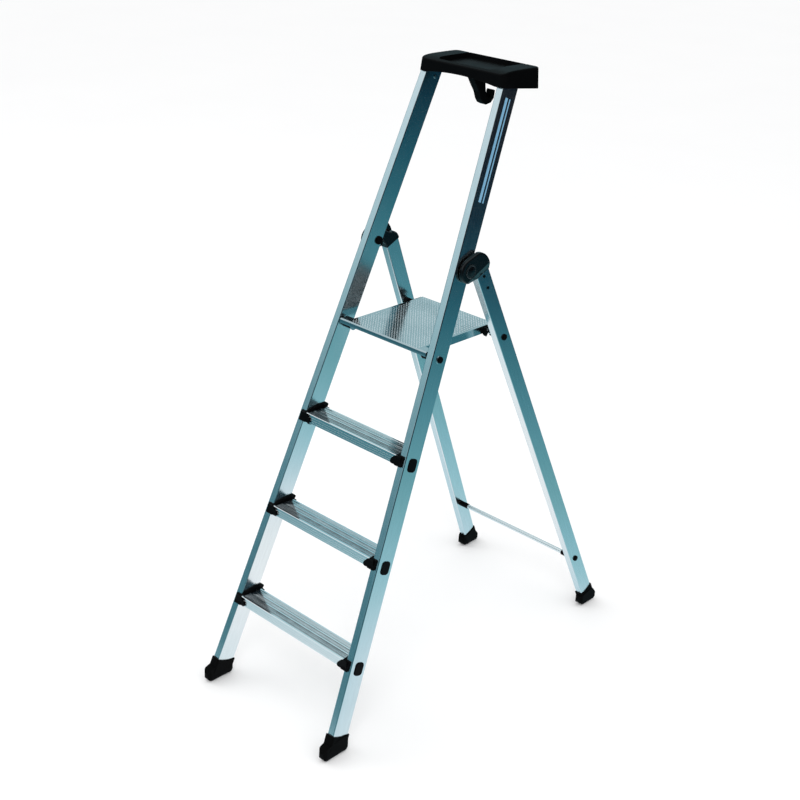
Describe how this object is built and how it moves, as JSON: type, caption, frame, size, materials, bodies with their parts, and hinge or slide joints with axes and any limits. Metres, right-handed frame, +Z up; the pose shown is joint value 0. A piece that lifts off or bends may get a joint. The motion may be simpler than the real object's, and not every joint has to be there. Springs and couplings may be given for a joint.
{
  "type": "platform step ladder",
  "caption": "Free-standing aluminium step ladder with ribbed treads, a standing platform, a top tray with a bucket hook, and a folding rear frame.",
  "frame": {"origin": "middle of the footprint on the floor, on the ladder's plane of symmetry", "axes": "+Z up, +X the climber's right, +Y the way the climber faces, from the front stiles towards the rear legs"},
  "size_m": [0.4834, 1.1102, 1.5831],
  "materials": {
    "brushed_aluminium": "bright drawn",
    "platform_aluminium": "embossed, matt",
    "black_plastic": "fine moulded grain",
    "black_gloss_casting": "glossy moulding",
    "black_rubber": "satin",
    "bright_steel": "zinc plated",
    "pale_decal": "thin printed film, plain stripes"
  },
  "bodies": {
    "front_frame": {"stile_left": "brushed_aluminium", "stile_right": "brushed_aluminium", "tread_1": "brushed_aluminium", "tread_2": "brushed_aluminium", "tread_3": "brushed_aluminium", "tread_bracket_1_left": "black_plastic", "tread_bracket_1_right": "black_plastic", "tread_bracket_2_left": "black_plastic", "tread_bracket_2_right": "black_plastic", "tread_bracket_3_left": "black_plastic", "tread_bracket_3_right": "black_plastic", "tread_plugs_left": "black_plastic", "tread_plugs_right": "black_plastic", "hinge_bolt_left": "black_plastic", "hinge_bolt_right": "black_plastic", "hinge_nuts": "bright_steel", "hinge_spacer_left": "black_plastic", "hinge_spacer_right": "black_plastic", "platform_bolt_left": "black_plastic", "platform_bolt_right": "black_plastic", "platform_washers": "bright_steel", "platform_nuts": "bright_steel", "platform_bush_left": "black_plastic", "platform_bush_right": "black_plastic", "front_shoe_left": "black_rubber", "front_shoe_right": "black_rubber", "top_tray": "black_plastic", "tray_rivets": "bright_steel", "bucket_hook": "black_plastic", "stile_label": "pale_decal"},
    "rear_frame": {"rear_leg_left": "brushed_aluminium", "rear_leg_right": "brushed_aluminium", "hinge_knuckle_left": "black_gloss_casting", "hinge_knuckle_right": "black_gloss_casting", "hinge_caps": "black_gloss_casting", "knuckle_rivets": "bright_steel", "platform_rear_rod": "bright_steel", "rod_collars": "black_plastic", "rod_end_caps": "black_plastic", "rear_brace": "brushed_aluminium", "brace_bushes": "black_plastic", "brace_bolts": "black_plastic", "rear_shoe_left": "black_rubber", "rear_shoe_right": "black_rubber"},
    "platform_deck": {"platform": "platform_aluminium", "platform_hook_left": "black_plastic", "platform_hook_right": "black_plastic", "platform_hook_rivets": "bright_steel"}
  },
  "joints": [
    {"name": "rear_fold", "type": "hinge", "parent": "front_frame", "child": "rear_frame", "pos_m": [0, -0.0662, 1.137], "axis": [-1, 0, 0], "range_deg": [0, 45.4]},
    {"name": "platform_fold", "type": "hinge", "parent": "front_frame", "child": "platform_deck", "pos_m": [0, -0.1582, 0.937], "axis": [1, 0, 0], "range_deg": [0, 68]}
  ],
  "couplings": [
    {"joint": "platform_fold", "follows": "rear_fold", "ratio": 1.497}
  ]
}
